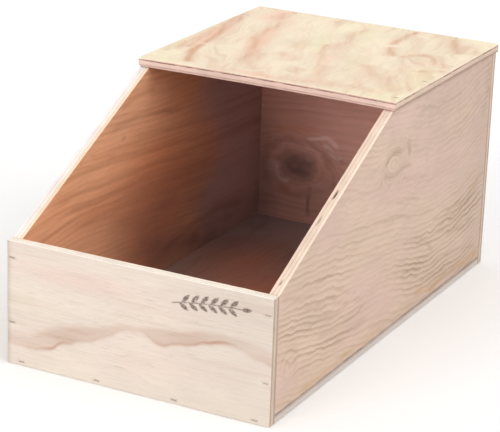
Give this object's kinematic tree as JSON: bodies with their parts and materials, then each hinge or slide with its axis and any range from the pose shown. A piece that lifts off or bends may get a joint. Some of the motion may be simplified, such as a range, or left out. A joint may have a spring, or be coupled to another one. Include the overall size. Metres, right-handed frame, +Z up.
{
  "type": "rabbit nest box",
  "caption": "Open-mouthed plywood nest box for small livestock: low front board, sides cut on a slope, a roof over the back half, a thin floor, all stapled.",
  "frame": {"origin": "on the ground, under the middle of the box (the bounding box's bottom centre)", "axes": "+Z up; the open mouth and the low front board face -Y; the box's length runs along Y; +X is to the right of someone standing in front of the mouth"},
  "size_m": [0.258, 0.457, 0.223],
  "materials": {
    "wall_plywood": "bare sanded softwood plywood, pale cream to tan-pink, with brown latewood lines",
    "roof_plywood": "bare rotary-cut softwood plywood, cream with orange-brown figure",
    "floor_plywood": "bare thin plywood",
    "staple_wire": "galvanised wire, dulled and set flush in the wood"
  },
  "bodies": {
    "root": {"front_board": "wall_plywood", "back_board": "wall_plywood", "left_side": "wall_plywood", "right_side": "wall_plywood", "roof_board": "roof_plywood", "floor_board": "floor_plywood", "staples_front_left": "staple_wire", "staples_front_right": "staple_wire", "staples_front_floor": "staple_wire", "staples_back_left": "staple_wire", "staples_back_right": "staple_wire", "staples_back_floor": "staple_wire", "staples_roof_left": "staple_wire", "staples_roof_right": "staple_wire", "staples_roof_back": "staple_wire", "staples_floor_left": "staple_wire", "staples_floor_right": "staple_wire"}
  },
  "joints": []
}
